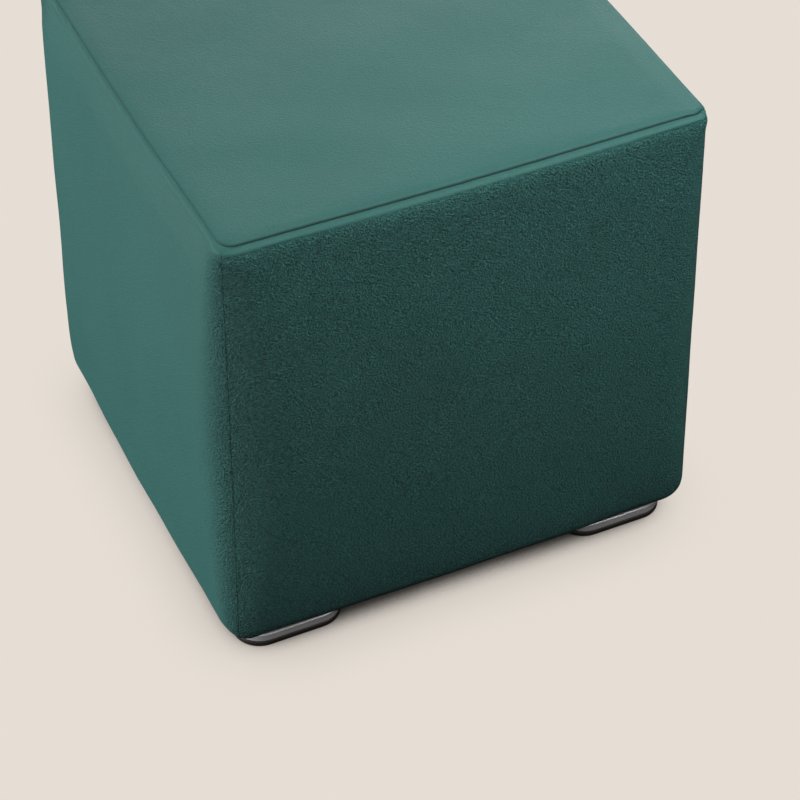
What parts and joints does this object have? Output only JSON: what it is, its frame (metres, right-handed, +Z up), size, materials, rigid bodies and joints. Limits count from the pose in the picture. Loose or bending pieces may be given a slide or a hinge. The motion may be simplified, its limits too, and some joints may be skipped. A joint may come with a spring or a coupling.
{
  "type": "cube pouf stool",
  "caption": "Cube pouf stool upholstered in dark green napped cloth, with a seam round its softly crowned top and low square feet with satin metal bands.",
  "frame": {"origin": "on the floor, under the middle of the stool", "axes": "+Z up; the front faces -Y; +X along the wider way of the plan, to the right seen from the front"},
  "size_m": [0.4564, 0.4404, 0.4549],
  "materials": {
    "green_cloth": "dense short nap with a fine pebbled grain",
    "satin_metal": "satin",
    "black_moulding": "matt moulded"
  },
  "bodies": {
    "root": {"top_panel_filled": "green_cloth", "side_panel_front": "green_cloth", "side_panel_right": "green_cloth", "side_panel_back": "green_cloth", "side_panel_left": "green_cloth", "base_panel": "green_cloth", "foot_front_left": "black_moulding", "foot_band_front_left": "satin_metal", "foot_front_right": "black_moulding", "foot_band_front_right": "satin_metal", "foot_back_right": "black_moulding", "foot_band_back_right": "satin_metal", "foot_back_left": "black_moulding", "foot_band_back_left": "satin_metal"}
  },
  "joints": []
}
